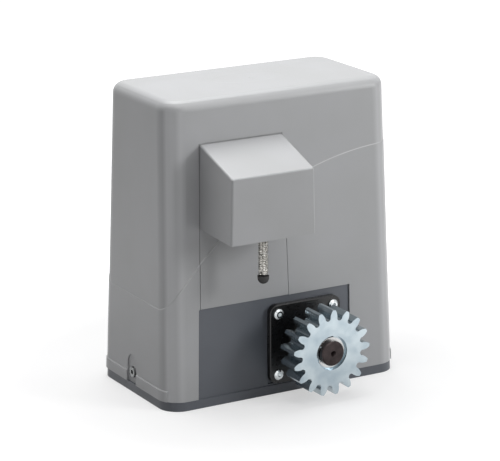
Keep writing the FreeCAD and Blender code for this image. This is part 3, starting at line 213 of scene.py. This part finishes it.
def gate_scar(skin, where, place):
    """The scar where the gate was cut off, standing in a shallow lens in the cover's top."""
    lens = add(skin, "ShaderNodeMapping",
               {"Location": (-LENS_X / LENS_HALF_LENGTH, -LENS_Y / LENS_HALF_WIDTH, 0),
                "Scale": (1 / (LENS_HALF_LENGTH * MM), 1 / (LENS_HALF_WIDTH * MM), 0)},
               {"Vector": where})["Vector"]
    lens = add(skin, "ShaderNodeVectorMath", {"operation": "LENGTH"}, {0: lens})["Value"]
    rim = add(skin, "ShaderNodeMapRange",
              {"interpolation_type": "SMOOTHSTEP", "From Min": LENS_RIM, "From Max": 1.0,
               "To Min": 0.0, "To Max": LENS_DEPTH * MM}, {"Value": lens})["Result"]
    gate = add(skin, "ShaderNodeMapping",
               {"Location": (-GATE_X * MM, -GATE_Y * MM, 0), "Scale": (1, 1, 0)},
               {"Vector": where})["Vector"]
    gate = add(skin, "ShaderNodeVectorMath", {"operation": "LENGTH"}, {0: gate})["Value"]
    scar = add(skin, "ShaderNodeMapRange",
               {"interpolation_type": "SMOOTHSTEP", "From Min": GATE_RADIUS * MM,
                "From Max": GATE_FOOT_RADIUS * MM, "To Min": GATE_HEIGHT * MM, "To Max": 0.0},
               {"Value": gate})["Result"]
    on_top = add(skin, "ShaderNodeMapRange",
                 {"From Min": TOP_STARTS * MM, "From Max": TOP_FULL * MM},
                 {"Value": place["Z"]})["Result"]
    height = add(skin, "ShaderNodeMath", {"operation": "ADD"}, {0: rim, 1: scar})["Value"]
    return add(skin, "ShaderNodeMath", {"operation": "MULTIPLY"}, {0: height, 1: on_top})["Value"]


def cover_skin():
    """ASA, moulded in a spark-eroded tool: cool light grey, silky, with an orange peel too fine
    to see singly (0.7 mm here, about 0.2 mm on the real skin)."""
    skin = moulded("asa_moulded_light_grey", ("#A8A9AA", "#ACADAF"),
                   {"Roughness": 0.40, "IOR": 1.5}, cloud_mm=60, grain_mm=0.7, grain_depth_mm=0.008)
    shader = skin.node_tree.nodes["Principled BSDF"].inputs
    where = add(skin, "ShaderNodeTexCoord", {})["Object"]
    place = add(skin, "ShaderNodeSeparateXYZ", {}, {"Vector": where})
    apart = add(skin, "ShaderNodeVectorMath", {"operation": "ABSOLUTE"}, {0: where})["Vector"]
    apart = add(skin, "ShaderNodeSeparateXYZ", {}, {"Vector": apart})
    on_face = add(skin, "ShaderNodeMapRange",
                  {"From Min": FACE_END * MM, "From Max": HOOD_START * MM,
                   "To Min": 1.0, "To Max": 0.0}, {"Value": apart["Y"]})["Result"]

    tone = shader["Base Color"].links[0].from_socket
    # A pale colour painted along the arc: a painted highlight for the light that the step's ledge
    # catches.
    tone = add(skin, "ShaderNodeMix", {"data_type": "RGBA", SECOND: colour("#C8C9CA")},
               {SHARE: painted_ledge_highlight(skin, place, apart, on_face), FIRST: tone})[MIXED]
    # A paler colour painted on the corner rounds as painted highlights.
    add(skin, "ShaderNodeMix", {"data_type": "RGBA", SECOND: colour("#CDCED0")},
        {SHARE: painted_corner_highlights(skin, on_face), FIRST: tone}, {MIXED: shader["Base Color"]})

    grain = shader["Normal"].links[0].from_socket
    add(skin, "ShaderNodeBump", {"Distance": 1.0},
        {"Height": gate_scar(skin, where, place), "Normal": grain}, {"Normal": shader["Normal"]})
    return skin


# ---------------------------------------------------------------- the pinion's metal
FACING_CUT = 0.888 * MM

# A wave texture runs on by this many radians over one unit of its scaled place.
WAVE_RATE = 20


def pinion_metal():
    """Milled blank, plated after cutting: facing cuts 0.9 mm apart run round the bore and turn
    the highlight into soft wedges."""
    metal, shader = start("steel_milled_zinc_plated", "#C8D1D6",
                          {"Metallic": 1.0, "Roughness": 0.26})
    where = add(metal, "ShaderNodeTexCoord", {})["Object"]
    low, high = corners("drive_pinion")
    centred = add(metal, "ShaderNodeMapping", {"Location": -(low + high) / 2},
                  {"Vector": where})["Vector"]
    cuts = add(metal, "ShaderNodeTexWave",
               {"wave_type": "RINGS", "rings_direction": "Y",
                "Scale": math.tau / WAVE_RATE / FACING_CUT,
                "Distortion": 0.4, "Detail": 1.0}, {"Vector": centred})["Fac"]
    clouded(metal, shader, where, ("#A0ADB5", "#B7C2C7"), cloud_mm=16, detail=2.0)
    add(metal, "ShaderNodeBump", {"Strength": 0.25, "Distance": 0.006 * MM}, {"Height": cuts},
        {"Normal": shader["Normal"]})
    return metal


# ---------------------------------------------------------------- the other finishes
asa = cover_skin()
pinion_zinc = pinion_metal()

# Aluminium casting under a smooth powder coat: slate grey, faintly blue, with the coat's peel.
powder_coat = moulded(
    "cast_aluminium_powder_coated_slate", ("#575B62", "#5C6067"),
    {"Roughness": 0.40, "IOR": 1.5}, cloud_mm=40, grain_mm=1.6, grain_depth_mm=0.03)

# Machined steel plate under black satin paint: nearly black, with clean soft highlights.
black_paint = moulded(
    "steel_painted_black_satin", ("#101011", "#141415"),
    {"Roughness": 0.30, "IOR": 1.5}, cloud_mm=20, grain_mm=2.0, grain_depth_mm=0.001)

# Moulded rubber: dull black with a dusty bloom.
rubber = moulded(
    "rubber_moulded_black", ("#151515", "#202020"),
    {"Roughness": 0.62, "IOR": 1.5}, cloud_mm=8, grain_mm=0.9, grain_depth_mm=0.02)

# Nylon with glass fibre, moulded: black-grey and half matt.
black_nylon = moulded(
    "nylon_moulded_black", ("#1A1B1D", "#222326"),
    {"Roughness": 0.42, "IOR": 1.53}, cloud_mm=15, grain_mm=0.8, grain_depth_mm=0.02)

# Natural nylon, moulded: creamy white.
white_nylon = moulded(
    "nylon_moulded_natural", ("#CFCDC4", "#DAD8D0"),
    {"Roughness": 0.40, "IOR": 1.53}, cloud_mm=15, grain_mm=0.8, grain_depth_mm=0.01)

# Polyamide terminal bodies: mid green and half matt.
green_polyamide = moulded(
    "polyamide_moulded_green", ("#2C7439", "#338140"),
    {"Roughness": 0.40, "IOR": 1.53}, cloud_mm=12, grain_mm=0.8, grain_depth_mm=0.01)

# Glass-epoxy board under solder mask: deep green and glossy, the weave just felt beneath it.
solder_mask = moulded(
    "glass_epoxy_green_solder_mask", ("#0F4527", "#124F2D"),
    {"Roughness": 0.28, "IOR": 1.5}, cloud_mm=9, grain_mm=1.5, grain_depth_mm=0.01)

# Steel with clear zinc plate: pale blue-grey, bright, cloudy where the bath ran.
zinc = worked(
    "steel_zinc_plated_clear", ("#B4BEC4", "#CBD4D9"),
    {"Roughness": 0.30}, cloud_mm=12, grain_mm=1.2, grain_depth_mm=0.006)

# Zinc plated cap screws: brighter, from tumbling in the barrel.
zinc_screw = worked(
    "steel_zinc_plated_barrel", ("#BFC4C6", "#DCE0E1"),
    {"Roughness": 0.22}, cloud_mm=4, grain_mm=0.8, grain_depth_mm=0.004)

# The cover's own screws: the same plate, dulled by weather.
dull_screw = worked(
    "steel_zinc_plated_weathered", ("#7E8080", "#949696"),
    {"Roughness": 0.42}, cloud_mm=3, grain_mm=0.8, grain_depth_mm=0.01)

# Ground and hardened bearing steel: bright, fine lay.
ground_steel = worked(
    "bearing_steel_ground", ("#A8A9A9", "#C6C7C7"),
    {"Roughness": 0.20}, cloud_mm=10, grain_mm=0.5, grain_depth_mm=0.003)

# Spring steel, hard drawn and oiled: bright with darker streaks.
drawn_wire = worked(
    "spring_steel_drawn", ("#C4C2BC", "#DAD8D3"),
    {"Roughness": 0.24}, cloud_mm=6, grain_mm=0.5, grain_depth_mm=0.0005)

# Spring steel ring, phosphated then wiped: bright edges over grey.
ring_steel = worked(
    "spring_steel_stamped", ("#A9AEB0", "#DADEE0"),
    {"Roughness": 0.22}, cloud_mm=3, grain_mm=0.5, grain_depth_mm=0.004)

# Turned shaft, black oxide: brown-black with a soft oily sheen.
black_oxide = worked(
    "steel_turned_black_oxide", ("#2A2323", "#3B3232"),
    {"Roughness": 0.32, "Metallic": 0.7}, cloud_mm=6, grain_mm=0.6, grain_depth_mm=0.01)

# Pressure die-cast aluminium, as it leaves the tool: mid grey, half matt, faintly clouded.
die_cast = worked(
    "aluminium_die_cast", ("#8C8D8F", "#9A9B9C"),
    {"Roughness": 0.52}, cloud_mm=30, grain_mm=1.3, grain_depth_mm=0.008)

# Stacked core sheets: dark blued steel.
core_sheet = worked(
    "core_sheet_steel_stacked", ("#45464A", "#5F6166"),
    {"Roughness": 0.45}, cloud_mm=9, grain_mm=0.8, grain_depth_mm=0.02)

# Winding wire under clear enamel: red-brown copper.
winding_wire = worked(
    "copper_wire_enamelled", ("#8C3F1F", "#B35E33"),
    {"Roughness": 0.27, "Coat Weight": 0.5}, cloud_mm=5, grain_mm=0.9, grain_depth_mm=0.05)

# Sintered bronze bush: matt brown-gold, porous.
bronze = worked(
    "bronze_sintered", ("#6E5330", "#A07B45"),
    {"Roughness": 0.45}, cloud_mm=5, grain_mm=0.5, grain_depth_mm=0.02)

finish_of_slot = {
    "grey_casting": powder_coat, "grey_plastic": asa, "black_metal": black_paint,
    "black_rubber": rubber, "zinc_screws": zinc_screw, "zinc_plate": zinc,
    "bearing_steel": ground_steel, "bare_aluminium": die_cast, "core_steel": core_sheet,
    "copper_wire": winding_wire, "white_plastic": white_nylon, "dark_plastic": black_nylon,
    "green_board": solder_mask, "green_terminal": green_polyamide,
    "black_oxide_steel": black_oxide, "zinc_pinion": pinion_zinc, "bright_steel": ground_steel,
    "bronze": bronze, "spring_steel": ring_steel,
}
for node in nodes.values():
    for slot in node.material_slots:
        slot.material = finish_of_slot[slot.material.name.split(".")[0]]
for slot in nodes["cover_screws"].material_slots:
    slot.material = dull_screw

# ---------------------------------------------------------------- limit spring
WIRE = 1.45 * MM
TURN_GAP = 0.06 * MM
WIRE_SIDES = 16
STEPS_A_TURN = 32


def wound_spring():
    """A close-wound coil: the wire's section is spun up it by a screw modifier."""
    low, high = corners("limit_spring")
    coil_radius = (high.x - low.x) / 2 - WIRE / 2
    pitch = WIRE + TURN_GAP
    turns = int((high.z - low.z - WIRE) / pitch)
    bpy.ops.object.select_all(action="DESELECT")
    bpy.ops.mesh.primitive_circle_add(vertices=WIRE_SIDES, radius=WIRE / 2,
                                      location=(coil_radius, 0, 0), rotation=(math.pi / 2, 0, 0))
    spring = bpy.context.object
    spring.name = "limit_spring_coil"
    bpy.ops.object.transform_apply(location=True, rotation=True, scale=True)
    winder = spring.modifiers.new("winding", "SCREW")
    winder.steps = STEPS_A_TURN
    winder.render_steps = STEPS_A_TURN
    winder.iterations = turns
    winder.screw_offset = pitch
    winder.use_merge_vertices = False
    bpy.ops.object.modifier_apply(modifier=winder.name)
    middle = (low + high) / 2
    spring.location = (middle.x, middle.y, middle.z - turns * pitch / 2)
    bpy.ops.object.transform_apply(location=True, rotation=True, scale=True)

    # Close the wire's two cut ends.
    bpy.ops.object.mode_set(mode="EDIT")
    bpy.ops.mesh.select_all(action="SELECT")
    bpy.ops.mesh.remove_doubles(threshold=0.01 * MM)
    bpy.ops.mesh.select_non_manifold()
    bpy.ops.mesh.fill()
    bpy.ops.mesh.select_all(action="SELECT")
    bpy.ops.mesh.normals_make_consistent(inside=False)
    bpy.ops.object.mode_set(mode="OBJECT")
    bpy.ops.object.shade_smooth()
    spring.data.materials.append(drawn_wire)
    return spring


spring = wound_spring()
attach(spring, "limit_lever")
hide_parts("limit_spring")


# ---------------------------------------------------------------- floor and backdrop
# The paper's glow for what sees it straight: held back near the object, whole from far off.
GLOW_NEAR, GLOW_STARTS, GLOW_WHOLE = 0.52, 180 * MM, 420 * MM
# The room's light on surfaces, against 1 for what sees it straight.
ROOM_LIGHT = 0.04


def seen_straight(material):
    """One where a surface is seen directly, in gloss or through glass, and nothing elsewhere."""
    path = add(material, "ShaderNodeLightPath", {})
    straight = path["Is Camera Ray"]
    for other in ("Is Glossy Ray", "Is Transmission Ray"):
        straight = add(material, "ShaderNodeMath", {"operation": "MAXIMUM"},
                       {0: straight, 1: path[other]})["Value"]
    return straight


def paper_sweep():
    """White paper: seen straight on it is white, and near the object it carries the shadow."""
    paper, shader = start("paper_sweep_white", "#B4B4B4", {"Roughness": 0.9, "IOR": 1.3})
    where = add(paper, "ShaderNodeTexCoord", {})["Object"]
    mottle = add(paper, "ShaderNodeTexNoise", {"Scale": 1 / (80 * MM)}, {"Vector": where})["Fac"]
    add(paper, "ShaderNodeMix",
        {"data_type": "RGBA", FIRST: colour("#B0B0B1"), SECOND: colour("#B5B5B5")},
        {SHARE: mottle}, {MIXED: shader["Base Color"]})
    away = add(paper, "ShaderNodeVectorMath", {"operation": "LENGTH"}, {0: where})["Value"]
    glow = add(paper, "ShaderNodeMapRange",
               {"interpolation_type": "SMOOTHSTEP", "From Min": GLOW_STARTS,
                "From Max": GLOW_WHOLE, "To Min": GLOW_NEAR, "To Max": 1.0},
               {"Value": away})["Result"]
    add(paper, "ShaderNodeMath", {"operation": "MULTIPLY"}, {0: glow, 1: seen_straight(paper)},
        {"Value": shader["Emission Strength"]})
    shader["Emission Color"].default_value = colour("#FFFFFF")
    return paper


def white_room():
    """A white room for what sees it straight, and a dim one as light."""
    studio = bpy.data.worlds.new("studio")
    bpy.context.scene.world = studio
    studio.use_nodes = True
    studio.node_tree.nodes.clear()
    strength = add(studio, "ShaderNodeMapRange", {"To Min": ROOM_LIGHT, "To Max": 1.0},
                   {"Value": seen_straight(studio)})["Result"]
    room = add(studio, "ShaderNodeBackground", {"Color": (1, 1, 1, 1)}, {"Strength": strength})
    add(studio, "ShaderNodeOutputWorld", {}, {"Surface": room["Background"]})


bpy.ops.object.select_all(action="DESELECT")
bpy.ops.mesh.primitive_plane_add(size=12.0, location=(0, 0, 0))
floor = bpy.context.object
floor.name = "floor"
floor.data.materials.append(paper_sweep())
white_room()


# ---------------------------------------------------------------- lamps and camera
def soft_box(name, where, target, size, watts):
    """A rectangular lamp that faces its target."""
    lamp = bpy.data.lights.new(name, "AREA")
    lamp.shape = "RECTANGLE"
    lamp.size, lamp.size_y = size
    lamp.energy = watts
    box = bpy.data.objects.new(name, lamp)
    bpy.context.scene.collection.objects.link(box)
    box.location = where
    box.rotation_euler = (Vector(target) - Vector(where)).to_track_quat("-Z", "Y").to_euler()


soft_box("overhead_softbox", (-0.05, 0.20, 1.25), (0, 0, 0.15), (1.1, 0.9), 17)
soft_box("key_softbox", (0.95, -1.10, 0.62), (0, 0, 0.20), (0.45, 0.55), 9.2)
soft_box("front_top_softbox", (0.05, -0.50, 0.78), (0, -0.05, 0.2), (0.7, 0.3), 1.3)
soft_box("left_fill_softbox", (-1.05, -1.15, 0.5), (0, 0, 0.15), (0.8, 0.8), 0.8)

# The camera stands to the left of the pinion's side and looks a little down.
CAMERA_PLACE = Vector((-1.02436, -1.78229, 0.71171))
CAMERA_YAW = math.radians(29.922)
CAMERA_PITCH = math.radians(15.805)
CAMERA_ROLL = math.radians(-0.242)
CAMERA_LENS = 175.1


def place_camera():
    """The camera at its place, turned by its yaw, its pitch and then its roll."""
    forward = Vector((math.sin(CAMERA_YAW) * math.cos(CAMERA_PITCH),
                      math.cos(CAMERA_YAW) * math.cos(CAMERA_PITCH), -math.sin(CAMERA_PITCH)))
    level = Vector((math.cos(CAMERA_YAW), -math.sin(CAMERA_YAW), 0))
    steep = level.cross(forward)
    across = level * math.cos(CAMERA_ROLL) + steep * math.sin(CAMERA_ROLL)
    upward = steep * math.cos(CAMERA_ROLL) - level * math.sin(CAMERA_ROLL)
    lens = bpy.data.cameras.new("camera")
    lens.lens = CAMERA_LENS
    lens.sensor_width = 36.0
    lens.clip_start = 0.05
    lens.clip_end = 50.0
    camera = bpy.data.objects.new("camera", lens)
    bpy.context.scene.collection.objects.link(camera)
    turn = Matrix((across, upward, -forward)).transposed()
    camera.matrix_world = Matrix.Translation(CAMERA_PLACE) @ turn.to_4x4()
    bpy.context.scene.camera = camera


place_camera()
bpy.context.scene.view_settings.view_transform = "Standard"
